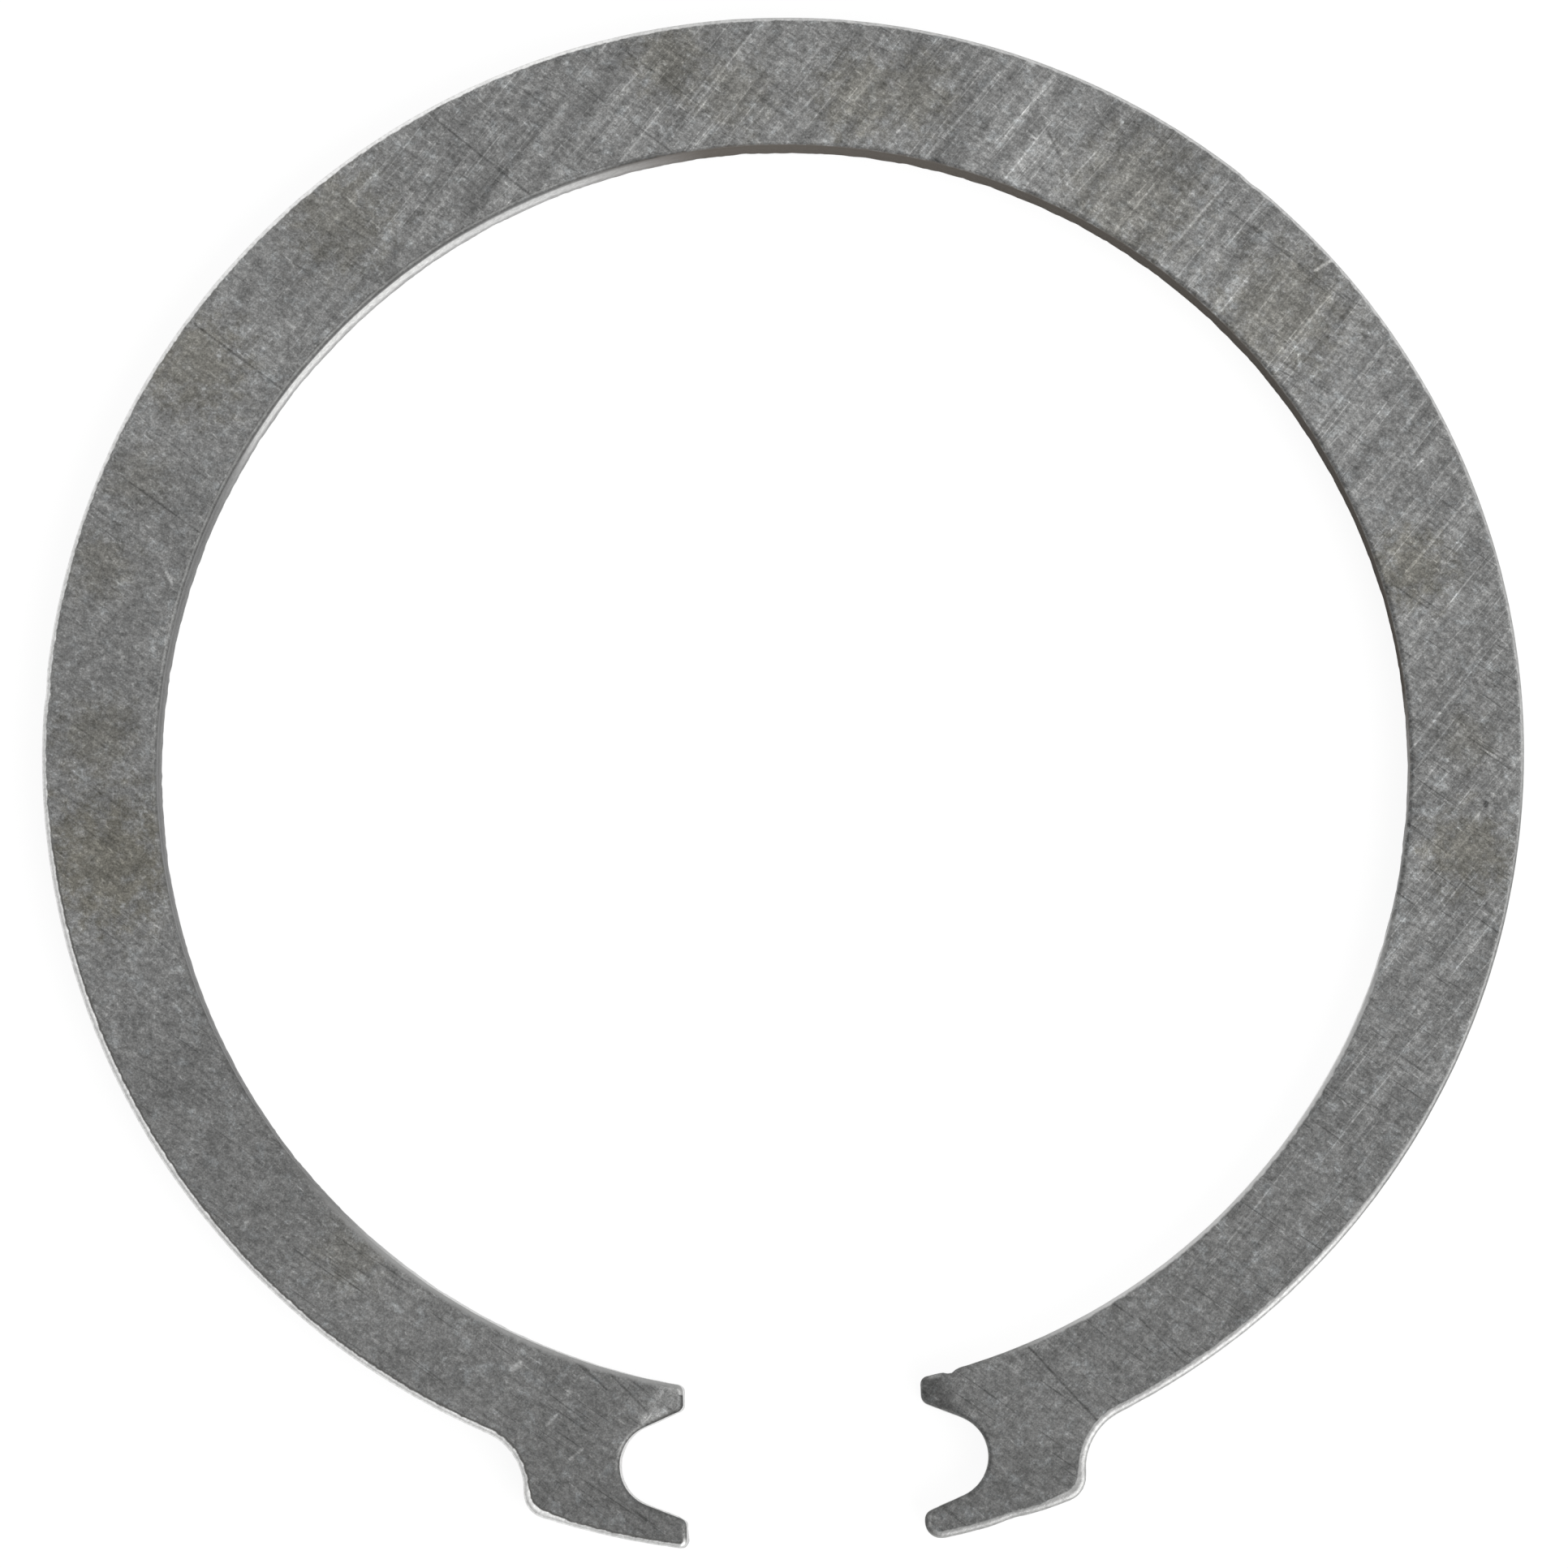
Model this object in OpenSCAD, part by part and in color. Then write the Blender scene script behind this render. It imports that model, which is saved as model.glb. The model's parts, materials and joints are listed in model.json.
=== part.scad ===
// External retaining ring (circlip), stamped from one sheet of spring steel.
// The ring lies flat: its lower face is at z = 0, the bore's centre is the origin,
// and the gap between the two lugs opens towards -Y.

/* [Ring] */
// Diameter of the bore of the free ring, before it is spread over a shaft
bore_d = 50.8; // [49:0.1:52]
// Thickness of the sheet
sheet_t = 2; // [1.5:0.05:2.5]
// Radial width of the band at the back, opposite the gap
back_w = 5.35; // [4.8:0.05:6]
// Radial width of the band on the gap side, where it runs into the lugs
front_w = 4.1; // [3.6:0.05:4.6]

/* [Lugs] */
// Width of the gap between the two lugs
gap_w = 9.5; // [8:0.1:11]
// Radial depth of a lug, from the bore to its outer rim
lug_depth = 6.55; // [6.2:0.05:7]
// Width of a lug, from the gap to its straight outer side
lug_w = 6.6; // [6:0.05:7.4]

/* [Plier slots] */
// Diameter of the round end of a slot, which the plier tip seats in
slot_d = 3.3; // [2.8:0.05:3.6]
// Distance of the slot's round end from the gap, to its centre
slot_inset = 0.98; // [0.6:0.02:1.4]
// Distance of the slot's round end from the bore, to its centre
slot_rise = 3.35; // [3.2:0.05:3.5]
// Width of the slot's flared mouth at the gap
mouth_w = 4.4; // [4:0.05:4.6]

/* [Corners] */
// Radius at the bore end of the inner prong's tip
tip_r = 0.28; // [0.22:0.02:0.34]
// Radius at the two corners of the slot's mouth
mouth_r = 0.42; // [0.24:0.02:0.5]
// Radius at the outer corner of the outer prong's tip
prong_r = 0.5; // [0.24:0.02:0.6]
// Radius at the lug's outer corner
shoulder_r = 1.05; // [0.6:0.05:1.4]
// Radius of the hollow where a lug blends into the band
root_r = 2.5; // [1.5:0.1:3]

/* [Rolled edge] */
// Width of the small bevel where stamping drew the upper edge down, round the bore, slots and rims
roll_w = 0.12; // [0.06:0.02:0.2]

/* [Bevelled tips] */
// Distance from the tip of an inner prong back to the crest of its bevel
bevel_run = 1; // [0.7:0.05:1.3]
// Slope of that bevel, in degrees
bevel_slope = 18; // [10:1:24]
// Turn of that bevel towards the slot, in degrees
bevel_turn = 30; // [20:1:40]

/* [Hidden] */
$fn = 180;

bore_r = bore_d / 2;
rim_r = bore_r + (back_w + front_w) / 2;
rim_c = [0, (back_w - front_w) / 2];
lug_r = bore_r + lug_depth;
gap_x = gap_w / 2;
side_x = gap_x + lug_w;

function polar(angle, radius) = radius * [cos(angle), sin(angle)];
function bearing(from, to) = atan2(to.y - from.y, to.x - from.x);
// Height at which a point of this x lies on the lower half of a circle about a centre on the Y axis
function low_y(x, radius, centre_y = 0) = centre_y - sqrt(radius * radius - x * x);

// Round end of the slot, and the angle on it where the mouth's straight flares begin
slot_c = [gap_x + slot_inset, low_y(gap_x + slot_inset, bore_r + slot_rise)];
flare_a = bearing([0, 0], [-slot_inset, mouth_w / 2])
        - acos(slot_d / 2 / norm([slot_inset, mouth_w / 2]));

// Centres of the corner arcs
tip_c = [gap_x + tip_r, low_y(gap_x + tip_r, bore_r + tip_r)];
mouth_in = mouth_r * tan(flare_a / 2);
mouth_top_c = [gap_x + mouth_r, slot_c.y + mouth_w / 2 + mouth_in];
mouth_low_c = [gap_x + mouth_r, slot_c.y - mouth_w / 2 - mouth_in];
prong_c = [gap_x + prong_r, low_y(gap_x + prong_r, lug_r - prong_r)];
shoulder_c = [side_x - shoulder_r, low_y(side_x - shoulder_r, lug_r - shoulder_r)];
root_c = [side_x + root_r, low_y(side_x + root_r, rim_r + root_r, rim_c.y)];

// The rims of the lug and of the band, as [centre, radius, start angle, end angle]
lug_rim = [[0, 0], lug_r, bearing([0, 0], prong_c), bearing([0, 0], shoulder_c)];
band_rim = [rim_c, rim_r, bearing(rim_c, root_c), 90];

// The right half's outline, walked from the back of the bore to the back of the rim with the
// metal on the left. The angles of an arc rise where the metal bulges and fall where it is
// hollow. Straight edges join one arc to the next.
ARCS = [
    [[0, 0], bore_r, 90, bearing([0, 0], tip_c)],
    [tip_c, tip_r, 180 + bearing([0, 0], tip_c), 180],
    [mouth_top_c, mouth_r, 180, 180 + flare_a],
    [slot_c, slot_d / 2, flare_a, -flare_a],
    [mouth_low_c, mouth_r, 180 - flare_a, 180],
    [prong_c, prong_r, 180, 360 + bearing([0, 0], prong_c)],
    lug_rim,
    [shoulder_c, shoulder_r, bearing([0, 0], shoulder_c), 0],
    [root_c, root_r, 180, bearing(root_c, rim_c)],
    band_rim
];

function bulges(arc) = arc[3] > arc[2];
function arc_start(arc) = arc[0] + polar(arc[2], arc[1]);
function arc_end(arc) = arc[0] + polar(arc[3], arc[1]);

// The area between an arc and its chord
module arc_cap(arc) {
    chord = [arc_start(arc), arc_end(arc)];
    out = polar(bearing(chord[0], chord[1]) + (bulges(arc) ? -90 : 90), 2 * arc[1]);
    intersection() {
        translate(arc[0]) circle(arc[1]);
        polygon([chord[0], chord[1], chord[1] + out, chord[0] + out]);
    }
}

// Half of the stamped outline: the polygon on the arcs' end points, with each bulging arc's cap
// added and each hollow arc's cap taken away
module half_outline() {
    difference() {
        union() {
            polygon([for (arc = ARCS) each [arc_start(arc), arc_end(arc)]]);
            for (arc = ARCS) if (bulges(arc)) arc_cap(arc);
        }
        for (arc = ARCS) if (!bulges(arc)) arc_cap(arc);
    }
}

// The waste over the bevelled tip of the right inner prong
module bevel_cut() {
    width = 2 * bevel_run / cos(bevel_turn) + 2 * tip_r;
    translate([gap_x, (tip_c.y + mouth_top_c.y) / 2, sheet_t])
        rotate(bevel_turn) translate([bevel_run, 0, 0]) rotate([0, -bevel_slope, 0])
            translate([-3 * bevel_run, -width / 2, 0]) cube([3 * bevel_run, width, bevel_run]);
}

// The waste over the rolled edge of a round hole
module hole_roll(centre, radius) {
    translate([centre.x, centre.y, sheet_t - 2 * roll_w])
        cylinder(h = 3 * roll_w, r1 = radius - roll_w, r2 = radius + 2 * roll_w);
}

// The waste over the rolled edge of a rim
module rim_roll(rim) {
    translate([rim[0].x, rim[0].y, sheet_t - roll_w])
        difference() {
            cylinder(h = 2 * roll_w, r = rim[1] + roll_w);
            translate([0, 0, -roll_w])
                cylinder(h = 4 * roll_w, r1 = rim[1] + roll_w, r2 = rim[1] - 3 * roll_w);
        }
}

// The waste over the band's rolled edges; the rim's stops just short of the hollows by the lugs
module band_roll() {
    hole_roll([0, 0], bore_r);
    intersection() {
        rim_roll(band_rim);
        translate([-2 * rim_r, arc_start(band_rim).y + roll_w]) cube([4 * rim_r, 3 * rim_r, 2 * sheet_t]);
    }
}

// The waste over the right lug's rolled edges; the rim's stops just short of the lug's corners
module lug_roll() {
    low_x = arc_start(lug_rim).x + roll_w;
    high_x = arc_end(lug_rim).x - roll_w;
    hole_roll(slot_c, slot_d / 2);
    intersection() {
        rim_roll(lug_rim);
        translate([low_x, -2 * lug_r]) cube([high_x - low_x, 2 * lug_r, 2 * sheet_t]);
    }
}

module retaining_ring() {
    color([0.49, 0.49, 0.48])
        difference() {
            linear_extrude(sheet_t) for (side = [0, 1]) mirror([side, 0]) half_outline();
            band_roll();
            for (side = [0, 1]) mirror([side, 0, 0]) {
                bevel_cut();
                lug_roll();
            }
        }
}

retaining_ring();
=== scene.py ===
"""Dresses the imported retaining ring: one worn steel stamping, lying flat on a white floor.

The ring's mesh is built here with its rolled upper edge, its rough sheared wall and its bevelled
prong tips. Lengths are in millimetres until MM turns them into the frame's metres.
"""

import json
import math

import bpy
from mathutils import Matrix, Vector, noise
from mathutils.geometry import delaunay_2d_cdt
from mathutils.kdtree import KDTree


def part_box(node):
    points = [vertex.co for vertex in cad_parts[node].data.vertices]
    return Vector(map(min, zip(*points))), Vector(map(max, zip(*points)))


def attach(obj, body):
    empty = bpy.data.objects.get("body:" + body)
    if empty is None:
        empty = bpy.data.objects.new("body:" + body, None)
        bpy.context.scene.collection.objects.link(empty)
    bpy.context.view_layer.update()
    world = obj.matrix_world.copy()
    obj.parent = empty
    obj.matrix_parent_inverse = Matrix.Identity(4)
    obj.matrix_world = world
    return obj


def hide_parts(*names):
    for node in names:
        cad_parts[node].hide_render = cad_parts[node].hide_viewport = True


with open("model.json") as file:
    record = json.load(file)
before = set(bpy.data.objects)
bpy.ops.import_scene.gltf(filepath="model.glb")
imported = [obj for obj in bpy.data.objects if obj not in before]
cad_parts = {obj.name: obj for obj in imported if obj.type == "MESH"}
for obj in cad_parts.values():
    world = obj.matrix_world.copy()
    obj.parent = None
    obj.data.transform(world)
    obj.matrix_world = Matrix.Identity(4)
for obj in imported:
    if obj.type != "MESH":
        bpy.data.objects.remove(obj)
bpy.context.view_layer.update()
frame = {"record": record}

MM = 0.001

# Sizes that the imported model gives
MOUNTS = {m["name"]: m for m in frame["record"]["mounts"]}
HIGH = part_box("retaining_ring")[1] / MM
SHEET = HIGH.z
BORE_R = MOUNTS["groove_seat"]["dims"]["r_mm"]
SLOT_R = MOUNTS["slot_right"]["dims"]["r_mm"]
SLOT_C = Vector(MOUNTS["slot_right"]["pos_m"][:2]) / MM
RIM_R = HIGH.x
RIM_C = Vector((0, HIGH.y - RIM_R))

# Sizes of the lugs
GAP_X = 4.75
LUG_R = BORE_R + 6.55
SIDE_X = GAP_X + 6.6
MOUTH_W = 4.4
SHOULDER_R = 1.05
ROOT_R = 2.5
# Corner radii of the prongs: the right lug is worn rounder than the left
TIP_R = {"right": 0.36, "left": 0.33}
MOUTH_CORNER_R = {"right": 0.45, "left": 0.4}
PRONG_R = {"right": 0.7, "left": 0.33}

# Section of the sheared wall, from the lower edge up
BURR_W = 0.06
SHEAR_Z = 1.2
BURNISH_IN = 0.02
ROLL_W = 0.2
ROLL_H = 0.2
# How far the lower wall of the bore leans in
LEAN_IN = 0.04
# Unevenness of the edge: depth, size of the lumps, and a number that shifts the pattern
WORN = [(0.008, 2.5, 0), (0.005, 0.6, 5)]
TORN = [(0.05, 0.5, 9), (0.03, 1.7, 3)]
# Below this y, on the lugs' far edge, the wall is torn twice as deep
RAGGED_Y = -29
# Bevels of the inner prongs' tips: length, slope, turn towards the slot, how far above the mouth
# lies the point that they are measured from, and how softly they begin
BEVEL_RUN = 1.0
BEVEL_SLOPE = math.radians(18)
BEVEL_TURN = math.radians(30)
BEVEL_RISE = 0.4
BEVEL_SOFT = 0.06

# Nicks that handling left in the edge: place, reach and depth
NICKS = [
    ((6.0, -24.8), 0.22, 0.17),
    ((8.3, -30.7), 0.7, 0.09),
    ((-29.8, 4.0), 0.5, 0.05),
    ((20.0, 23.2), 0.4, 0.05),
]

# Spacing of the mesh along the outline and over the faces, and the most that one step turns
STEP = 0.17
GRID = 0.6
STEP_TURN = 0.2
# Depths of the two rows of points that follow a face's edge, and how far the grid keeps from it
CAP_ROWS = (0.4, 0.62)
CAP_CLEAR = 0.8


def polar(angle, radius):
    return Vector((math.cos(angle), math.sin(angle))) * radius


def bearing(start, end):
    return math.atan2(end.y - start.y, end.x - start.x)


def low_point(x, radius, centre_y=0.0):
    """The point of this x on the lower half of a circle about a centre on the Y axis."""
    return Vector((x, centre_y - math.sqrt(radius * radius - x * x)))


def half_arcs(side):
    """The arcs of one half's outline, from the back of the bore to the back of the rim.

    Each is (centre, radius, start angle, end angle); the angles rise where the metal bulges.
    """
    origin = Vector((0, 0))
    tip_r, mouth_r, prong_r = TIP_R[side], MOUTH_CORNER_R[side], PRONG_R[side]
    inset = Vector((GAP_X - SLOT_C.x, MOUTH_W / 2))
    flare = bearing(origin, inset) - math.acos(SLOT_R / inset.length)
    rise = MOUTH_W / 2 + mouth_r * math.tan(flare / 2)
    tip = low_point(GAP_X + tip_r, BORE_R + tip_r)
    prong = low_point(GAP_X + prong_r, LUG_R - prong_r)
    shoulder = low_point(SIDE_X - SHOULDER_R, LUG_R - SHOULDER_R)
    root = low_point(SIDE_X + ROOT_R, RIM_R + ROOT_R, RIM_C.y)
    mouth_x = GAP_X + mouth_r
    turn = math.pi
    return [
        (origin, BORE_R, turn / 2, bearing(origin, tip)),
        (tip, tip_r, turn + bearing(origin, tip), turn),
        (Vector((mouth_x, SLOT_C.y + rise)), mouth_r, turn, turn + flare),
        (SLOT_C, SLOT_R, flare, -flare),
        (Vector((mouth_x, SLOT_C.y - rise)), mouth_r, turn - flare, turn),
        (prong, prong_r, turn, 2 * turn + bearing(origin, prong)),
        (origin, LUG_R, bearing(origin, prong), bearing(origin, shoulder)),
        (shoulder, SHOULDER_R, bearing(origin, shoulder), 0.0),
        (root, ROOT_R, turn, bearing(root, RIM_C)),
        (RIM_C, RIM_R, bearing(RIM_C, root), turn / 2),
    ]


def walk(arcs):
    """Points and unit normals into the metal along a half outline, about STEP apart."""
    points = []
    for centre, radius, start, end in arcs:
        bulge = 1 if end > start else -1
        first = centre + polar(start, radius)
        if points:
            last, inward = points[-1]
            gap = first - last
            count = int(gap.length / STEP)
            points += [(last + gap * (i / count), inward) for i in range(1, count)]
        sweep = abs(end - start)
        count = max(int(sweep * radius / STEP), int(sweep / STEP_TURN), 2)
        # An arc that begins where the last one ended leaves out its first point
        skip = 1 if points and (first - points[-1][0]).length < 0.01 else 0
        for i in range(skip, count + 1):
            angle = start + (end - start) * i / count
            points.append((centre + polar(angle, radius), polar(angle, -bulge)))
    return points


def outline():
    """The closed outline, walked with the metal on the left."""
    right = walk(half_arcs("right"))
    left = [(Vector((-p.x, p.y)), Vector((-n.x, n.y))) for p, n in walk(half_arcs("left"))]
    return right + left[::-1][1:-1]


def grain(x, y, z, size, seed):
    """Smooth noise from -1 to 1 whose lumps are about size across."""
    return noise.noise(Vector((x / size + seed, y / size - seed, z / size + 2 * seed)))


def bevel_drop(point):
    """How far the upper face lies below the sheet at a point, near the inner prongs' tips."""
    x, y = abs(point.x), point.y
    # Only the inner prongs are bevelled
    if x > GAP_X + 4 or y < SLOT_C.y or y > SLOT_C.y + 6:
        return 0.0
    middle = Vector((GAP_X, SLOT_C.y + MOUTH_W / 2 + BEVEL_RISE))
    past = BEVEL_RUN - (Vector((x, y)) - middle).dot(polar(BEVEL_TURN, 1))
    return math.tan(BEVEL_SLOPE) * (past + math.sqrt(past * past + BEVEL_SOFT * BEVEL_SOFT)) / 2


def section():
    """The edge's section as (depth into the metal, height, raggedness), from the lower face up.

    Raggedness is the share of TORN that a row gets. A height over SHEET - ROLL_H belongs to the
    rolled edge and follows the upper face.
    """
    rows = [(0.2, 0.0, 0.3), (BURR_W, 0.0, 0.3), (0.015, 0.05, 1.0)]
    rows += [(0.0, SHEAR_Z * k / 5, 1.0) for k in range(1, 5)]
    rows += [(BURNISH_IN * 0.5, SHEAR_Z, 0.6), (BURNISH_IN, SHEAR_Z + 0.12, 0.15)]
    rows += [(BURNISH_IN, SHEET - ROLL_H - 0.2, 0.1)]
    steps = 6
    for k in range(steps + 1):
        angle = math.pi / 2 * k / steps
        depth = BURNISH_IN + ROLL_W * (1 - math.cos(angle))
        rows.append((depth, SHEET - ROLL_H * (1 - math.sin(angle)), 0.1))
    return rows + [(BURNISH_IN + ROLL_W + 0.03, SHEET, 0.1)]


def nick_depth(point):
    """How far the nicks near a point of the outline cut into it."""
    away = [((point - Vector(place)).length / reach, depth) for place, reach, depth in NICKS]
    return sum(depth * math.exp(-far * far) for far, depth in away)


def edge_point(point, inward, depth, height, ragged):
    """A vertex of the edge: worn a little unevenly, and torn where the sheet was sheared."""
    x, y = point
    worn = sum(deep * (1 + grain(x, y, 0, size, seed)) for deep, size, seed in WORN)
    worn += nick_depth(point)
    torn = sum(deep * abs(grain(x, y, height, size, seed)) for deep, size, seed in TORN)
    # The bore's wall leans in all round but at the lower right
    if point.length < BORE_R + 0.1:
        torn -= LEAN_IN * min(max(2 - (x - y) / 10, 0), 1)
    if y < RAGGED_Y:
        torn *= 2
    where = point + inward * (depth + worn + ragged * torn)
    roll_foot = SHEET - ROLL_H
    drop = bevel_drop(where)
    if height > roll_foot:
        return Vector((where.x, where.y, height - drop))
    return Vector((where.x, where.y, height * (roll_foot - drop) / roll_foot))


def rim_tree(rim):
    """A search tree over the outline's points, seen from above."""
    tree = KDTree(len(rim))
    for i, (place, _) in enumerate(rim):
        tree.insert((place.x, place.y, 0), i)
    tree.balance()
    return tree


def from_rim(tree, point):
    """Distance of a point from the outline."""
    return tree.find((point.x, point.y, 0))[2]


def inside_points(rim, tree):
    """Points over a face: two rows that follow its edge, and a grid that keeps clear of it."""
    points = []
    for depth in CAP_ROWS:
        row = [place + inward * depth for place, inward in rim[::2]]
        # In tight corners some of the row comes too near the edge and is left out
        points += [p for p in row if from_rim(tree, p) > 0.97 * depth]
    # The grid's rows are staggered, which makes its triangles nearly even
    reach = int(LUG_R / GRID) + 2
    for i in range(-reach, reach + 1):
        for j in range(-reach, reach + 1):
            p = Vector(((i + 0.5 * (j % 2)) * GRID, j * GRID * 0.87))
            in_band = p.length > BORE_R and (p - RIM_C).length < RIM_R
            in_lug = GAP_X < abs(p.x) < SIDE_X and BORE_R < p.length < LUG_R and p.y < 0
            slot = (Vector((abs(p.x), p.y)) - SLOT_C).length < SLOT_R
            mouth = abs(p.x) < SLOT_C.x and abs(p.y - SLOT_C.y) < MOUTH_W / 2
            gap = abs(p.x) < GAP_X and p.y < 0
            if (in_band or in_lug) and not (slot or mouth or gap) and from_rim(tree, p) > CAP_CLEAR:
                points.append(p)
    return points


def face_cap(vertices, faces, first, count, inner, upward):
    """Closes the loop of count vertices from index first with a flat face over the inner points."""
    loop = [Vector(vertices[first + i][:2]) for i in range(count)]
    edges = [(i, (i + 1) % count) for i in range(count)]
    points, _, triangles, origins, _, _ = delaunay_2d_cdt(loop + inner, edges, [], 1, 1e-7)
    index = []
    for point, origin in zip(points, origins):
        if origin and origin[0] < count:
            index.append(first + origin[0])
        else:
            index.append(len(vertices))
            height = SHEET - bevel_drop(point) if upward else 0.0
            vertices.append(Vector((point.x, point.y, height)))
    for triangle in triangles:
        corners = [index[i] for i in triangle]
        a, b, c = (vertices[i] for i in corners)
        if ((b - a).cross(c - a).z > 0) != upward:
            corners.reverse()
        faces.append(corners)


def ring_mesh():
    """The whole ring as one closed mesh."""
    rim = outline()
    rows = section()
    count = len(rim)
    vertices = [edge_point(p, n, *row) for row in rows for p, n in rim]
    faces = []
    for row in range(len(rows) - 1):
        for i in range(count):
            j = (i + 1) % count
            low, high = row * count, (row + 1) * count
            faces.append((low + i, low + j, high + j, high + i))
    tree = rim_tree(rim)
    inner = inside_points(rim, tree)
    face_cap(vertices, faces, (len(rows) - 1) * count, count, inner, True)
    face_cap(vertices, faces, 0, count, inner, False)
    mesh = bpy.data.meshes.new("ring")
    mesh.from_pydata([v * MM for v in vertices], [], faces)
    mesh.shade_smooth()
    # The material reads each vertex's distance from the edge
    depths = [row[0] for row in rows for _ in rim]
    depths += [from_rim(tree, point) for point in vertices[len(depths):]]
    mesh.attributes.new("depth", "FLOAT", "POINT").data.foreach_set("value", depths)
    return mesh


class Nodes:
    """Short names for building a node tree."""

    def __init__(self, tree):
        self.tree = tree
        tree.nodes.clear()

    def add(self, kind, inputs=(), **settings):
        node = self.tree.nodes.new(kind)
        for name, value in settings.items():
            setattr(node, name, value)
        for name, value in dict(inputs).items():
            self.set(node.inputs[name], value)
        return node

    def set(self, socket, value):
        if isinstance(value, bpy.types.NodeSocket):
            self.tree.links.new(value, socket)
        elif socket.type == "VECTOR":
            socket.default_value = tuple(value)[:3]
        else:
            socket.default_value = value

    def math(self, operation, a, b=0.0, c=0.0):
        return self.add("ShaderNodeMath", {0: a, 1: b, 2: c}, operation=operation).outputs[0]

    def vector(self, operation, a, b=(0, 0, 0)):
        node = self.add("ShaderNodeVectorMath", {0: a, 1: b}, operation=operation)
        return node.outputs["Value" if operation in ("DOT_PRODUCT", "LENGTH") else "Vector"]

    def noise(self, where, scale, detail, rough):
        inputs = {"Vector": where, "Scale": scale, "Detail": detail, "Roughness": rough}
        return self.add("ShaderNodeTexNoise", inputs).outputs["Fac"]

    def band(self, value, low, high, start=0.0, end=1.0):
        """Maps low..high to start..end, smoothly, and holds the ends; low may be above high."""
        names = {"Value": value, "From Min": low, "From Max": high, "To Min": start, "To Max": end}
        return self.add("ShaderNodeMapRange", names, interpolation_type="SMOOTHSTEP").outputs[0]

    def mix(self, factor, a, b):
        inputs = {"Factor": factor, "A": a, "B": b}
        node = self.tree.nodes.new("ShaderNodeMix")
        node.data_type = "RGBA"
        for name, value in inputs.items():
            kind = "VALUE" if name == "Factor" else "RGBA"
            self.set(next(s for s in node.inputs if s.name == name and s.type == kind), value)
        return next(s for s in node.outputs if s.type == "RGBA")

    def weighted(self, terms):
        """The sum of weight * (value - middle) over (value, middle, weight)."""
        total = -sum(middle * weight for _, middle, weight in terms)
        for value, _, weight in terms:
            total = self.math("MULTIPLY_ADD", value, weight, total)
        return total

    def scaled(self, where, factors):
        return self.vector("MULTIPLY", where, factors)

    def turned(self, where, degrees):
        inputs = {"Vector": where, "Angle": math.radians(degrees), "Axis": (0, 0, 1)}
        return self.add("ShaderNodeVectorRotate", inputs, rotation_type="AXIS_ANGLE").outputs[0]


# Colours of the steel, linear: faces and stains, brown painted shade for the bore, then walls
# with painted sheen and shade, then painted highlights and shade on the rolled edge
GREY = (0.208, 0.209, 0.206, 1)
BLUE_GREY = (0.305, 0.319, 0.324, 1)
OLIVE = (0.150, 0.142, 0.116, 1)
# Brown painted shade for the bore right of the back
SHADE_BROWN = (0.125, 0.113, 0.101, 1)
WALL = (0.36, 0.36, 0.355, 1)
# Painted sheen on the outer walls' burnished upper band and on the bore's wall at the lower right
BURNISHED_SHEEN = (0.8, 0.8, 0.79, 1)
# Painted highlight along the bore's wall under its edge, at the upper left
BORE_HIGHLIGHT = (0.72, 0.72, 0.71, 1)
# Painted sheen on lit stretches of the bore's and slots' walls, and on the bore's edge
PAINTED_SHEEN = (0.6, 0.6, 0.595, 1)
# The bore's and left-hand slots' walls away from the painted sheen: painted shade over dark sheared
# steel
SHADED_BORE_WALL = (0.10, 0.10, 0.098, 1)
# A painted dark line of shade beside the outer edge's highlight, at the lower left
SHADE_LINE = (0.10, 0.098, 0.094, 1)
# Painted highlights on the rolled outer edge: everywhere, then brighter at the left, dimmer at the
# right and dull in one stretch
ROLL_HIGHLIGHT = (0.58, 0.58, 0.575, 1)
ROLL_HIGHLIGHT_LEFT = (0.95, 0.95, 0.94, 1)
ROLL_HIGHLIGHT_RIGHT = (0.42, 0.42, 0.415, 1)
ROLL_HIGHLIGHT_DULL = (0.24, 0.24, 0.237, 1)
# A faint painted highlight along the bore's edge at the lower left
FAINT_HIGHLIGHT = (0.36, 0.36, 0.355, 1)
# Painted shade on the drawn-down edge where the lamp would light it too brightly
ROLL_SHADE = (0.07, 0.07, 0.068, 1)
# Directions of the two families of fine scratches, from +X, in degrees
FALLING = -37
RISING = 50
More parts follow.
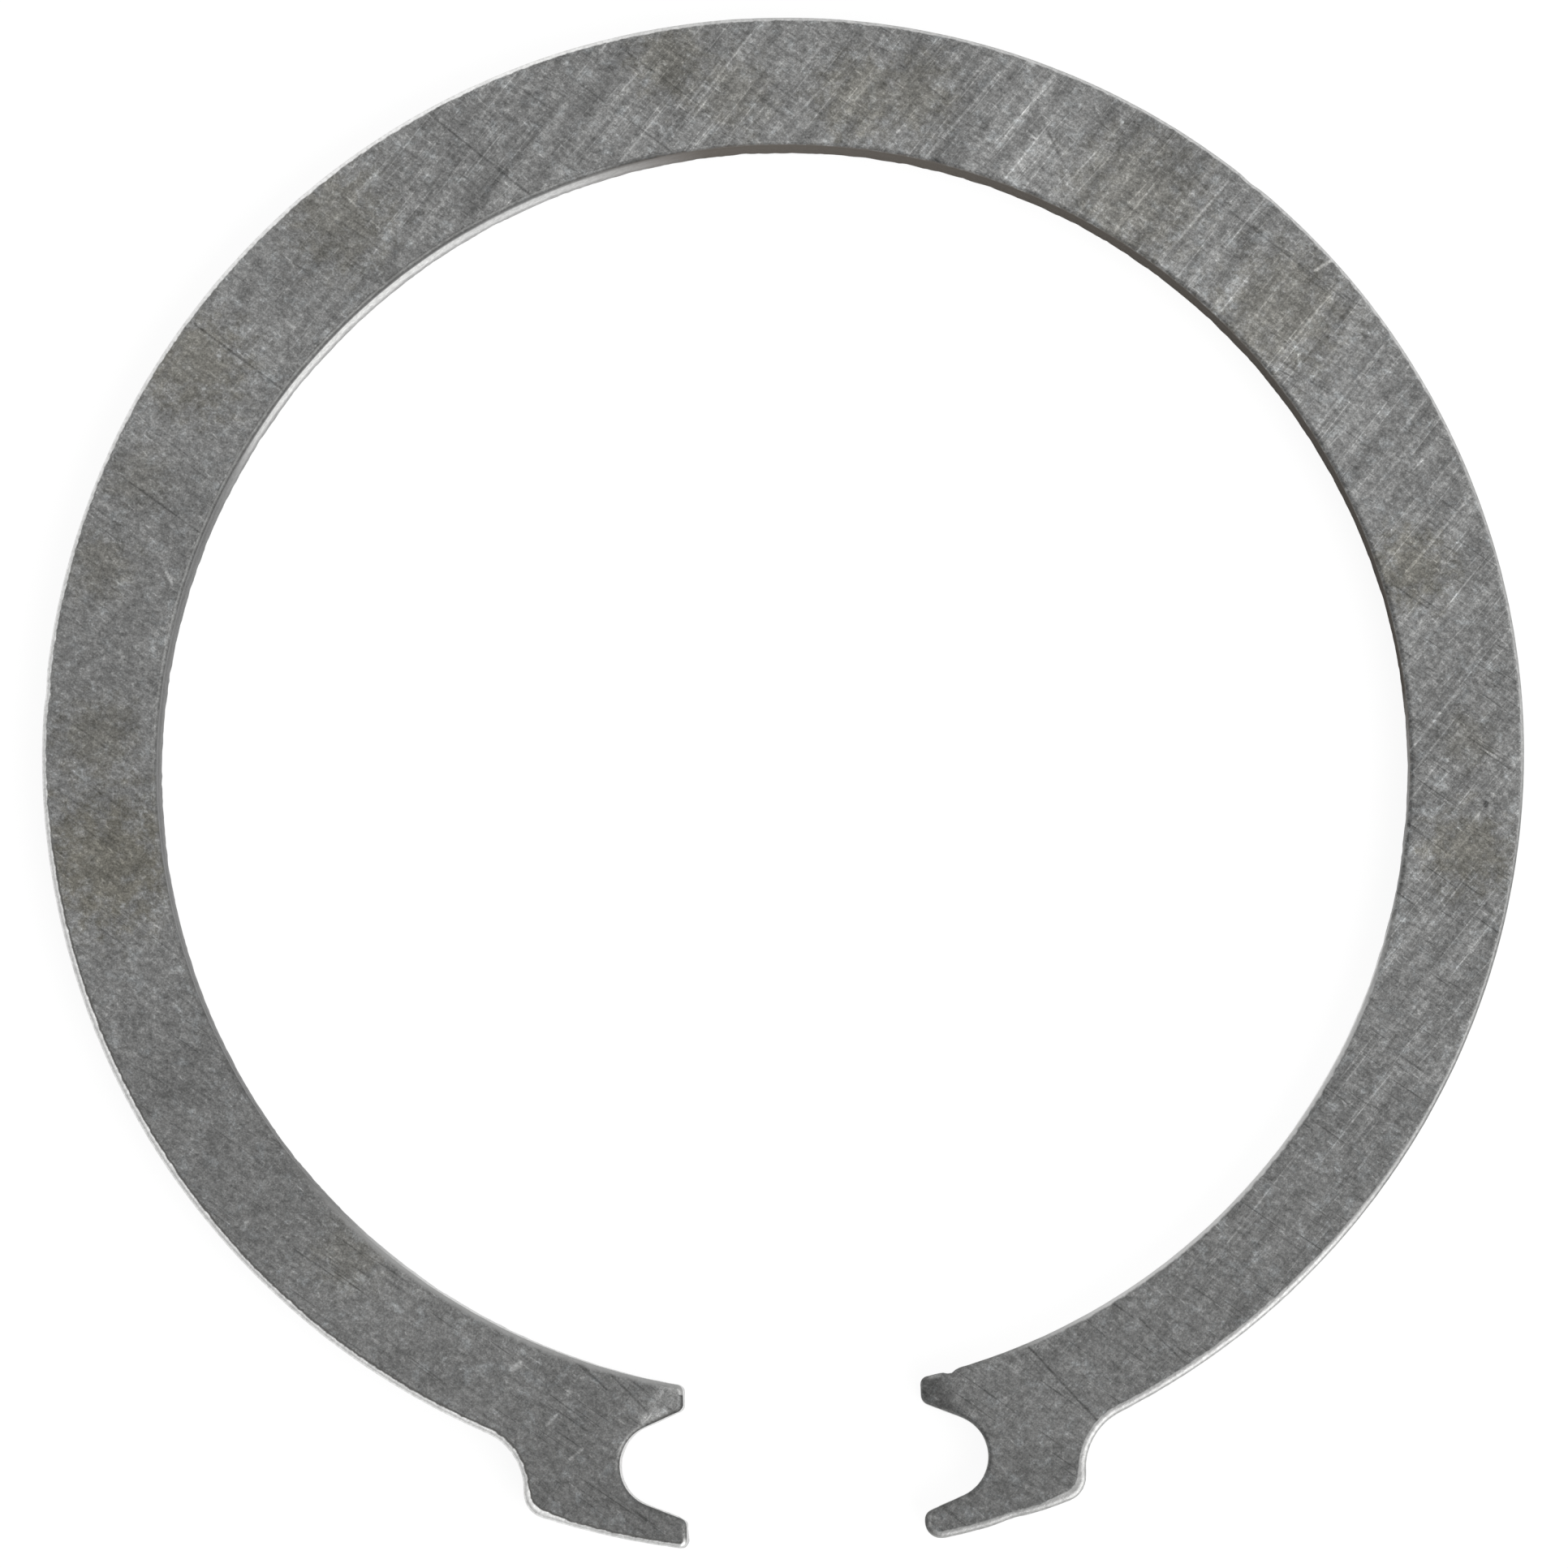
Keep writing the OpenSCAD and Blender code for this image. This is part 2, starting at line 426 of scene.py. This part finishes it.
# Single marks that stand out: start, end, half width in millimetres, and change of tone in stops
MARKS = [
    ((-23.4, 18.9), (-19.8, 16.0), 0.05, -0.6),
    ((-13.3, 27.0), (-9.5, 23.7), 0.05, -0.6),
    ((-26.5, 12.7), (-23.4, 10.3), 0.04, -0.5),
    ((9.2, -23.9), (11.9, -27.0), 0.05, -0.7),
    ((13.7, -22.9), (15.3, -24.6), 0.04, -0.5),
    ((9.4, -20.6), (12.4, -23.7), 0.03, -0.5),
    ((18.5, 22.4), (23.5, 18.2), 0.04, -0.5),
    ((17.3, 23.9), (18.1, 22.9), 0.05, -0.45),
    ((11.6, 25.8), (12.4, 24.0), 0.06, -0.45),
    ((5.8, 28.5), (7.6, 27.0), 0.04, -0.45),
    ((-0.3, 27.7), (1.3, 26.3), 0.08, -0.35),
    ((-5.4, 29.5), (-2.5, 27.2), 0.04, -0.5),
    ((-7.3, 28.2), (-3.7, 25.3), 0.04, -0.45),
    ((-4.3, 25.5), (-1.5, 29.0), 0.06, 0.5),
    ((-3.7, 25.8), (-0.3, 30.0), 0.06, 0.55),
    ((1.3, 26.5), (4.7, 29.5), 0.06, 0.4),
    ((6.7, 24.6), (9.9, 28.1), 0.06, 0.4),
    ((9.4, 24.6), (12.1, 27.9), 0.08, 0.4),
    ((12.4, 23.3), (14.8, 25.8), 0.05, 0.4),
    ((14.3, 21.3), (16.2, 23.4), 0.06, 0.45),
    ((16.1, 20.0), (19.0, 23.2), 0.06, 0.65),
    ((19.0, 17.6), (20.9, 19.9), 0.1, 0.25),
    ((20.6, 15.6), (23.3, 18.8), 0.06, 0.4),
    ((22.2, 12.9), (25.0, 16.1), 0.08, 0.6),
    ((24.1, 10.0), (26.9, 13.1), 0.06, 0.5),
    ((25.6, 6.9), (28.3, 9.9), 0.07, 0.65),
    ((22.4, 19.4), (23.1, 19.8), 0.08, 1.2),
    ((-24.8, 8.7), (-24.6, 8.3), 0.08, 0.9),
    ((-9.5, -23.5), (-8.2, -24.7), 0.05, -0.55),
    ((-8.9, -23.9), (-7.8, -25.1), 0.05, -0.5),
    ((-7.8, -24.3), (-6.2, -26.0), 0.05, -0.55),
    ((-7.2, -24.4), (-5.8, -25.6), 0.05, -0.45),
    ((-11.6, -24.1), (-11.3, -23.9), 0.13, 0.9),
    ((-9.4, -25.2), (-9.4, -25.1), 0.1, 0.7),
    ((-10.3, -26.4), (-9.9, -26.0), 0.07, 0.7),
    ((-9.4, -27.8), (-8.9, -27.4), 0.07, 0.8),
    # A painted highlight on the lower edge of the left prong's bevel
    ((-6.4, -26.3), (-5.5, -26.0), 0.16, 0.55),
    # A painted highlight on the right inner prong's tip
    ((5.2, -25.0), (5.5, -24.9), 0.12, 0.8),
    # A painted highlight on the rounded end of the right outer prong
    ((4.97, -30.5), (4.97, -30.9), 0.1, 0.8),
    ((-6.7, -24.7), (-8.6, -23.9), 0.06, -0.35),
    ((10.2, 27.8), (10.25, 27.8), 0.07, -0.9),
    ((28.4, -2.7), (28.45, -2.6), 0.1, -1.2),
]

# Broad changes of tone: bearing clockwise from the ring's back, degrees to full strength and to
# none, and change in stops at the bore and at the rim
TONES = [
    (13, 5, 12, -0.07, -0.07),
    (26, 4, 11, 0.06, 0.12),
    (36, 4, 12, 0.0, -0.13),
    (42, 26, 48, 0.23, 0.07),
    (50, 6, 14, 0.08, 0.1),
    (88, 8, 18, 0.09, 0.04),
    (112, 34, 60, -0.04, -0.12),
    (133, 6, 14, -0.1, 0.0),
    (163, 9, 14, -0.1, -0.1),
    (220, 5, 13, 0.1, 0.0),
    (222, 26, 38, -0.05, -0.07),
    (240, 8, 18, -0.1, -0.08),
    (257, 5, 12, 0.03, 0.14),
    (312, 22, 40, 0.06, 0.11),
    (340, 4, 10, -0.03, -0.07),
    (352, 5, 13, 0.2, 0.0),
]

# Olive-brown stains: place, radius and strength
STAINS = [
    ((-3.5, 29.0), 1.5, 0.5),
    ((-1.0, 27.6), 1.5, 0.35),
    ((4.1, 27.3), 1.7, 0.5),
    ((6.4, 27.3), 1.5, 0.45),
    ((-17.3, 23.0), 2.0, 0.45),
    ((-23.4, 17.2), 2.0, 0.55),
    ((-25.8, 12.6), 1.2, 0.3),
    ((-27.5, 9.1), 1.3, 0.4),
    ((-27.8, 2.0), 1.5, 0.5),
    ((-27.5, -3.0), 2.6, 0.75),
    ((15.2, 22.8), 2.6, 0.4),
    ((21.0, 17.9), 2.4, 0.45),
    ((25.8, 7.1), 1.5, 0.6),
    ((27.6, -4.5), 1.6, 0.6),
    ((27.8, 0.0), 1.0, 0.35),
    ((-18.1, -19.4), 1.3, 0.35),
]

# Stretches of the edge that look different, where painted highlights and shade go: bearing, degrees to
# full strength and to none
SPANS = {
    # Brown painted shade in the bore
    "brown_shade": (40, 45, 62),
    # Painted sheen and highlights on the bore's wall
    "bore shine": (328, 6, 34),
    "bore line": (317, 6, 17),
    "bore right, pale": (137, 18, 36),
    "bore left, pale": (202, 10, 26),
    # Painted highlights and shade along the bore's edge
    "bore edge, pale": (134, 14, 30),
    "bore edge, faint": (204, 12, 32),
    "bore edge, dark": (275, 50, 80),
    "bore edge, darker": (325, 25, 45),
    # Painted highlight strip along the outer edge, and the painted dark line of shade beside it
    "strip, left": (272, 67, 90),
    "strip, right": (122, 45, 65),
    "strip, dull": (112, 10, 24),
    "dark line": (225, 38, 46),
}
# Width of the painted highlight strip along the outer edges, and what some stretches and the lugs'
# corners add to it
STRIP_W = 0.16
STRIP_CHANGES = [
    ((154, 10, 38), 0.15),
    ((75, 20, 40), -0.02),
    ((330, 15, 40), 0.03),
    ((230, 20, 45), 0.06),
    ((262, 18, 34), 0.035),
]
SHOULDER_WIDER = 0.12
# Middle and radius of the patch that holds a prong's bevel
FACET_Y = 25.9
FACET_R = 1.6
# The slots' walls lie inside this x and below this y
SLOT_SIDE_X = 9.3
SLOT_TOP_Y = -21


def mark_mask(n, where, start, end, half_width):
    """1 on a straight mark between two points of the face, fading to 0 at its sides."""
    start, end = Vector((*start, 0)), Vector((*end, 0))
    run = end - start
    offset = n.vector("SUBTRACT", where, tuple(start))
    along = n.math("DIVIDE", n.vector("DOT_PRODUCT", offset, tuple(run)), run.length_squared)
    held = n.math("MINIMUM", n.math("MAXIMUM", along, 0.0), 1.0)
    foot = n.add("ShaderNodeVectorMath", {0: tuple(run), "Scale": held}, operation="SCALE").outputs[0]
    away = n.vector("LENGTH", n.vector("SUBTRACT", offset, foot))
    return n.band(away, half_width * 0.3, half_width * 1.4, 1.0, 0.0)


def brushed(n, where, degrees, length, width, detail):
    """Noise drawn out along one direction, as an abrasive leaves it; sizes in millimetres."""
    turned = n.turned(where, -degrees)
    return n.noise(n.scaled(turned, (1 / length, 1 / width, 1)), 1.0, detail, 0.6)


def toward(n, where, degrees, low, high, start, end):
    """A value that goes from start to end as the face runs from low to high along a direction."""
    way = tuple(polar(math.radians(degrees), 1)) + (0,)
    return n.band(n.vector("DOT_PRODUCT", where, way), low, high, start, end)


def sector(n, outward, degrees, full, none):
    """1 within full degrees of a bearing, falling to 0 at none degrees from it."""
    way = (math.sin(math.radians(degrees)), math.cos(math.radians(degrees)), 0)
    limits = math.cos(math.radians(none)), math.cos(math.radians(full))
    return n.band(n.vector("DOT_PRODUCT", outward, way), *limits)


def face_look(n, where):
    """Colour and relief of the worn faces: mottling, rust stains and two families of scratches."""
    flat = n.scaled(where, (1, 1, 0))
    # Rising scratches are strongest at the upper right, and falling ones towards the lugs
    rising_part = toward(n, flat, 40, -16, 12, 0.2, 1.0)
    falling_part = toward(n, flat, -70, -14, 20, 0.45, 1.0)
    outward = n.vector("NORMALIZE", flat)
    radius = n.vector("LENGTH", flat)
    # Grain and mottling, then the two families of scratches, then small bright and dark marks
    grit = n.noise(where, 6.0, 3, 0.8)
    grain_fine = n.noise(where, 13.0, 2, 0.6)
    flakes = brushed(n, flat, FALLING, 0.4, 0.22, 5.0)
    mottle = n.noise(where, 1.0, 5, 0.75)
    patch = n.noise(where, 0.2, 3, 0.5)
    fine_rising = brushed(n, flat, RISING, 2.5, 0.12, 2.0)
    broad_rising = brushed(n, flat, RISING, 7.0, 0.7, 2.0)
    fine_falling = brushed(n, flat, FALLING, 1.6, 0.12, 2.0)
    cuts = n.band(brushed(n, flat, FALLING, 5.0, 0.14, 2.0), 0.40, 0.28)
    ticks = n.band(brushed(n, flat, FALLING + 8, 1.3, 0.11, 2.0), 0.38, 0.26)
    glints = n.band(brushed(n, flat, RISING, 7.0, 0.12, 1.0), 0.6, 0.74)
    gleams = n.band(brushed(n, flat, RISING - 5, 4.0, 0.11, 1.0), 0.62, 0.76)
    dashes = n.band(brushed(n, flat, FALLING - 5, 0.7, 0.14, 2.0), 0.62, 0.74)
    flecks = n.band(n.noise(where, 3.4, 5, 0.7), 0.57, 0.68)
    pits = n.band(n.noise(where, 4.5, 4, 0.7), 0.36, 0.26)

    # Each layer with its middle and its weight in stops
    texture = n.weighted([
        (grit, 0.5, 2.25),
        (grain_fine, 0.5, 1.95),
        (flakes, 0.5, 2.35),
        (mottle, 0.5, 1.9),
        (patch, 0.5, 0.7),
        (n.math("MULTIPLY", n.math("SUBTRACT", fine_rising, 0.5), rising_part), 0.0, 0.9),
        (n.math("MULTIPLY", n.math("SUBTRACT", broad_rising, 0.5), rising_part), 0.0, 2.0),
        (n.math("MULTIPLY", n.math("SUBTRACT", fine_falling, 0.5), falling_part), 0.0, 0.7),
        (n.math("MULTIPLY", cuts, falling_part), 0.0, -0.85),
        (n.math("MULTIPLY", ticks, rising_part), 0.0, -0.6),
        (n.math("MULTIPLY", glints, rising_part), 0.0, 0.6),
        (n.math("MULTIPLY", gleams, rising_part), 0.0, 0.5),
        (dashes, 0.0, 0.7),
        (flecks, 0.0, 0.45),
        (pits, 0.0, -0.5),
    ])
    # The texture calms down and the tone darkens towards the lugs
    stops = n.math("MULTIPLY", texture, toward(n, flat, -90, 4, 28, 1.0, 0.86))
    stops = n.math("ADD", stops, toward(n, flat, -75, 12, 28, 0.0, -0.22))
    stops = n.math("ADD", stops, toward(n, flat, -90, 26.5, 29, 0.0, -0.16))
    # 0 by the bore and 1 by the rim
    near_rim = n.band(radius, 26, 29.5)
    for degrees, full, none, at_bore, at_rim in TONES:
        change = n.math("MULTIPLY_ADD", near_rim, at_rim - at_bore, at_bore)
        stops = n.math("MULTIPLY_ADD", sector(n, outward, degrees, full, none), change, stops)
    for start, end, half_width, change in MARKS:
        mask = mark_mask(n, flat, start, end, half_width)
        stops = n.math("MULTIPLY_ADD", mask, change, stops)

    # Grey that is bluer in patches, and over it olive stains with ragged outlines
    pale = n.band(n.noise(where, 1.6, 5, 0.7), 0.52, 0.68)
    blotch = n.math("MULTIPLY", n.math("SUBTRACT", n.noise(where, 1.5, 5, 0.75), 0.5), 4.0)
    stained = 0.0
    for place, reach, strength in STAINS:
        away = n.vector("LENGTH", n.vector("SUBTRACT", flat, (*place, 0)))
        near = n.math("MULTIPLY_ADD", away, 1 / reach, blotch)
        stained = n.math("MAXIMUM", n.band(near, 1.5, 0.3, 0.0, strength), stained)
    colour = n.mix(n.math("MULTIPLY", pale, 0.6), GREY, BLUE_GREY)
    colour = n.mix(stained, colour, OLIVE)
    scale = n.math("POWER", 2.0, stops)
    face = n.add("ShaderNodeVectorMath", {0: colour, "Scale": scale}, operation="SCALE").outputs[0]
    relief = n.math("ADD", n.math("ADD", grit, flakes), fine_rising)
    return face, relief


def both(n, *masks):
    """The product of some masks."""
    product = masks[0]
    for mask in masks[1:]:
        product = n.math("MULTIPLY", product, mask)
    return product


def edge_look(n, where, face):
    """Colours of the sheared wall and of the drawn-down edge above it, with painted highlights and
    shade that differ round the ring.
    """
    flat = n.scaled(where, (1, 1, 0))
    outward = n.vector("NORMALIZE", flat)
    radius = n.vector("LENGTH", flat)
    axes = n.add("ShaderNodeSeparateXYZ", {"Vector": where}).outputs
    height = axes["Z"]

    def along(name):
        return sector(n, outward, *SPANS[name])

    bore = n.band(radius, BORE_R + 0.45, BORE_R + 0.35)
    past_bore = n.math("SUBTRACT", 1.0, bore)
    across = n.band(n.math("ABSOLUTE", axes["X"]), SLOT_SIDE_X + 0.3, SLOT_SIDE_X)
    below = n.band(axes["Y"], SLOT_TOP_Y + 1, SLOT_TOP_Y)
    slots = both(n, across, below, n.band(radius, LUG_R - 0.1, LUG_R - 0.6), past_bore)
    outside = both(n, past_bore, n.math("SUBTRACT", 1.0, slots))
    ragged = n.noise(where, 3.0, 3, 0.6)
    depth = n.add("ShaderNodeAttribute", attribute_name="depth").outputs["Fac"]
    depth = n.math("MULTIPLY_ADD", n.math("SUBTRACT", ragged, 0.5), 0.16, depth)

    # Sheared wall: torn below, burnished above, with painted sheen, highlight and shade in stretches
    # and brown painted shade in the bore right of the back
    torn = n.noise(where, 6.0, 4, 0.7)
    streaks = n.noise(n.scaled(where, (7, 7, 0.7)), 1.0, 3, 0.6)
    torn_tone = n.math("MULTIPLY_ADD", torn, 1.5, 0.25)
    streak_tone = n.math("MULTIPLY_ADD", streaks, 0.8, 0.55)
    tone = n.mix(n.band(height, SHEAR_Z - 0.05, SHEAR_Z + 0.1), torn_tone, streak_tone)
    brown_shade = both(n, bore, along("brown_shade"))
    # Painted sheen on the bore's wall at the upper left and on the right-hand slots' walls; the rest
    # of the bore's wall takes painted shade
    shine = both(n, along("bore shine"), n.band(height, 1.7, 1.3), n.band(height, 0.35, 0.8, 0.5, 1.0))
    shine = n.math("MAXIMUM", shine, both(n, slots, n.band(axes["X"], -1, 1)))
    wall = n.mix(shine, SHADED_BORE_WALL, PAINTED_SHEEN)
    # A painted highlight along the bore's wall under its edge, at the upper left
    under_rim = both(n, n.band(height, 0.7, 1.0), n.band(height, 1.7, 1.45))
    wall = n.mix(both(n, bore, along("bore line"), under_rim), wall, BORE_HIGHLIGHT)
    # Painted sheen on the bore's wall at the lower right and lower left
    wall = n.mix(along("bore right, pale"), wall, BURNISHED_SHEEN)
    wall = n.mix(along("bore left, pale"), wall, PAINTED_SHEEN)
    # Outer walls: painted sheen on their burnished upper band
    outer = n.mix(n.band(height, SHEET - 0.45, SHEET - 0.2), WALL, BURNISHED_SHEEN)
    wall = n.vector("MULTIPLY", tone, n.mix(outside, wall, outer))
    # Brown painted shade over the bore's wall right of the back
    wall = n.mix(n.math("MULTIPLY", brown_shade, 0.95), wall, SHADE_BROWN)

    # Painted highlight strip along the outer edges, widest at the lower right, with a painted dark
    # line of shade beside it on the left, and painted shade on the drawn-down edge where the lamp
    # would make it too bright
    lug_corner = (SIDE_X, LUG_R - 1.5, 0)
    from_corner = n.vector("LENGTH", n.vector("SUBTRACT", n.vector("ABSOLUTE", flat), lug_corner))
    changes = [(sector(n, outward, *span), 0.0, change) for span, change in STRIP_CHANGES]
    changes.append((n.band(from_corner, 2.0, 0.8), 0.0, SHOULDER_WIDER))
    width = n.math("ADD", n.weighted(changes), STRIP_W)
    inside = n.math("SUBTRACT", depth, width)
    line = both(n, outside, along("dark line"), n.band(inside, 0.12, 0.07))
    strip = both(n, outside, n.band(inside, 0.03, -0.03))
    # Weights of the painted shade on the drawn-down edge: the bore's edge at the left and upper left,
    # the dull stretch at the right and the left-hand slots' edges
    lit = n.weighted([
        (both(n, bore, along("bore edge, dark")), 0.0, 0.4),
        (both(n, bore, along("bore edge, darker")), 0.0, 0.3),
        (both(n, outside, along("strip, dull")), 0.0, 0.45),
        (both(n, slots, n.band(axes["X"], 1, -1)), 0.0, 0.3)])
    drawn = both(n, lit, n.band(depth, 0.22, 0.17), n.band(depth, 0.0, 0.1, 0.85, 1.0))
    roll = n.mix(drawn, face, ROLL_SHADE)
    roll = n.mix(n.math("MULTIPLY", line, 0.8), roll, SHADE_LINE)
    # The strip's painted brightness changes round the ring
    rolled = n.mix(along("strip, left"), ROLL_HIGHLIGHT, ROLL_HIGHLIGHT_LEFT)
    rolled = n.mix(along("strip, right"), rolled, ROLL_HIGHLIGHT_RIGHT)
    rolled = n.mix(along("strip, dull"), rolled, ROLL_HIGHLIGHT_DULL)
    roll = n.mix(strip, roll, n.vector("MULTIPLY", tone, rolled))

    # Softer painted highlights along the bore's edge, and brown painted shade on it right of the back
    pale = both(n, bore, along("bore edge, pale"), n.band(depth, 0.22, 0.12))
    faint = both(n, bore, along("bore edge, faint"), n.band(depth, 0.3, 0.04))
    roll = n.mix(pale, roll, PAINTED_SHEEN)
    roll = n.mix(faint, roll, FAINT_HIGHLIGHT)
    roll = n.mix(both(n, brown_shade, n.band(depth, 0.1, 0.0)), roll, SHADE_BROWN)
    return wall, roll, torn, brown_shade


def steel(name):
    """Worn spring steel: mottled and cross-scratched faces, and rolled edges and sheared walls with
    painted highlights and shade.
    """
    material = bpy.data.materials.new(name)
    material.use_nodes = True
    n = Nodes(material.node_tree)
    spot = n.add("ShaderNodeTexCoord")
    where = n.scaled(spot.outputs["Object"], (1 / MM, 1 / MM, 1 / MM))
    normal = n.add("ShaderNodeSeparateXYZ", {"Vector": spot.outputs["Normal"]})
    upright = n.math("ABSOLUTE", normal.outputs["Z"])
    face, relief = face_look(n, where)
    # Painted shade on the bevels at the prongs' tips: darker than the face, most of all on the
    # left-hand one, which faces +X
    facet = n.vector("SUBTRACT", n.vector("ABSOLUTE", where), (GAP_X, FACET_Y, SHEET))
    near = n.band(n.vector("LENGTH", facet), FACET_R + 0.3, FACET_R)
    on_facet = both(n, near, n.band(upright, 0.98, 0.965))
    side = n.band(normal.outputs["X"], -0.1, 0.1, 0.95, 0.6)
    face = n.vector("MULTIPLY", face, n.mix(on_facet, (1, 1, 1, 1), side))
    wall, roll, torn, brown_shade = edge_look(n, where, face)
    on_wall = n.band(upright, 0.4, 0.15)
    base = n.mix(on_wall, roll, wall)

    relief = n.mix(on_wall, relief, n.math("MULTIPLY", torn, 3.0))
    bump = n.add("ShaderNodeBump", {"Height": relief, "Strength": 0.35, "Distance": 0.00003})
    rough = n.math("MULTIPLY_ADD", torn, 0.16, 0.36)
    # The bore's brown painted shade isn't metal, and the faces are kept from paling at low angles
    bare = n.math("SUBTRACT", 1.0, both(n, on_wall, brown_shade))
    glancing = n.mix(on_wall, (0.4, 0.4, 0.4, 1), (1, 1, 1, 1))
    shader = n.add("ShaderNodeBsdfPrincipled", {
        "Base Color": base, "Metallic": n.math("MULTIPLY", bare, 0.85), "Roughness": rough,
        "Specular IOR Level": n.math("MULTIPLY", bare, 0.5), "Specular Tint": glancing,
        "Normal": bump.outputs[0]})
    output = n.add("ShaderNodeOutputMaterial")
    n.set(output.inputs["Surface"], shader.outputs[0])
    return material


def make_ring():
    ring = bpy.data.objects.new("ring", ring_mesh())
    bpy.context.scene.collection.objects.link(ring)
    ring.data.materials.append(steel("worn_spring_steel"))
    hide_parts("retaining_ring")
    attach(ring, "root")


# Half the floor's width, the lamp's place and the lamp's width in metres, and its power in watts
FLOOR_REACH = 1.5
KEY_PLACE = (0.35, -0.3, 0.35)
KEY_SIZE = 0.6
KEY_POWER = 3.0


def seen_white(n):
    """A factor that is 1 for what the camera sees directly, reflected or through glass."""
    path = n.add("ShaderNodeLightPath").outputs
    seen = n.math("MAXIMUM", path["Is Camera Ray"], path["Is Glossy Ray"])
    return n.math("MAXIMUM", seen, path["Is Transmission Ray"])


def make_floor():
    """A white floor that keeps the ring's soft shadow."""
    mesh = bpy.data.meshes.new("floor")
    corners = [(FLOOR_REACH * x, FLOOR_REACH * y, 0) for x, y in ((-1, -1), (1, -1), (1, 1), (-1, 1))]
    mesh.from_pydata(corners, [], [(0, 1, 2, 3)])
    floor = bpy.data.objects.new("floor", mesh)
    # A little below the ring, so that the two faces don't share a plane
    floor.location.z = -0.02 * MM
    bpy.context.scene.collection.objects.link(floor)
    material = bpy.data.materials.new("white_floor")
    material.use_nodes = True
    n = Nodes(material.node_tree)
    # Where seen, a glow makes it nearly white, and its dark diffuse part keeps the shadow
    plain = n.add("ShaderNodeBsdfDiffuse", {"Color": (0.85, 0.85, 0.85, 1)})
    shaded = n.add("ShaderNodeBsdfDiffuse", {"Color": (0.13, 0.13, 0.13, 1)})
    glow = n.add("ShaderNodeEmission", {"Color": (1, 1, 1, 1), "Strength": 0.9})
    lit = n.add("ShaderNodeAddShader", {0: shaded.outputs[0], 1: glow.outputs[0]})
    mixed = n.add("ShaderNodeMixShader", {0: seen_white(n), 1: plain.outputs[0], 2: lit.outputs[0]})
    output = n.add("ShaderNodeOutputMaterial")
    n.set(output.inputs["Surface"], mixed.outputs[0])
    mesh.materials.append(material)


def make_world():
    """Plain pale surroundings, darker towards the ring's lower left, and white to the camera."""
    world = bpy.data.worlds.new("studio")
    bpy.context.scene.world = world
    world.use_nodes = True
    n = Nodes(world.node_tree)
    way = n.add("ShaderNodeTexCoord").outputs["Generated"]
    side = n.vector("DOT_PRODUCT", way, (-0.6, -0.5, 0.1))
    strength = n.band(side, -0.1, 0.6, 0.95, 0.35)
    light = n.add("ShaderNodeBackground", {"Color": (1, 1, 1, 1), "Strength": strength})
    white = n.add("ShaderNodeBackground", {"Color": (1, 1, 1, 1), "Strength": 1.0})
    path = n.add("ShaderNodeLightPath").outputs["Is Camera Ray"]
    mixed = n.add("ShaderNodeMixShader", {0: path, 1: light.outputs[0], 2: white.outputs[0]})
    output = n.add("ShaderNodeOutputWorld")
    n.set(output.inputs["Surface"], mixed.outputs[0])


def make_lamp(name, place, size, power):
    """A square soft box that looks at the ring's middle."""
    data = bpy.data.lights.new(name, "AREA")
    data.size = size
    data.energy = power
    lamp = bpy.data.objects.new(name, data)
    lamp.location = place
    lamp.rotation_euler = (-Vector(place)).to_track_quat("-Z", "Y").to_euler()
    bpy.context.scene.collection.objects.link(lamp)


# The photograph's view of the ring, from fitting the outline in its frame
PHOTO_SIZE = 1932
RING_TURN = math.radians(1.85)
CAMERA_TILT = math.radians(5.53)
CAMERA_SIDE = math.radians(19.04)
CAMERA_DISTANCE = 300.0
PIXELS_PER_MM = 30.185
ORIGIN_X, ORIGIN_Y = 964.4, 946.7


def make_camera():
    """A camera almost straight above, leaning a little towards the gap."""
    lean = Vector((math.sin(CAMERA_TILT) * math.sin(CAMERA_SIDE),
                   -math.sin(CAMERA_TILT) * math.cos(CAMERA_SIDE), math.cos(CAMERA_TILT)))
    right = Vector((0, 1, 0)).cross(lean).normalized()
    up = lean.cross(right)
    turn = Matrix.Rotation(-RING_TURN, 3, "Z")
    right, up, lean = turn @ right, turn @ up, turn @ lean
    across = (PHOTO_SIZE / 2 - ORIGIN_X) / PIXELS_PER_MM
    down = (PHOTO_SIZE / 2 - ORIGIN_Y) / PIXELS_PER_MM
    target = right * across - up * down
    data = bpy.data.cameras.new("camera")
    data.sensor_width = 36
    data.lens = data.sensor_width * CAMERA_DISTANCE * PIXELS_PER_MM / PHOTO_SIZE
    data.clip_start = 0.01
    camera = bpy.data.objects.new("camera", data)
    axes = Matrix((right, up, lean)).transposed().to_4x4()
    camera.matrix_world = Matrix.Translation((target + lean * CAMERA_DISTANCE) * MM) @ axes
    bpy.context.scene.collection.objects.link(camera)
    bpy.context.scene.camera = camera


make_camera()
make_ring()
make_floor()
make_world()
make_lamp("key", KEY_PLACE, KEY_SIZE, KEY_POWER)
bpy.context.scene.view_settings.view_transform = "Standard"
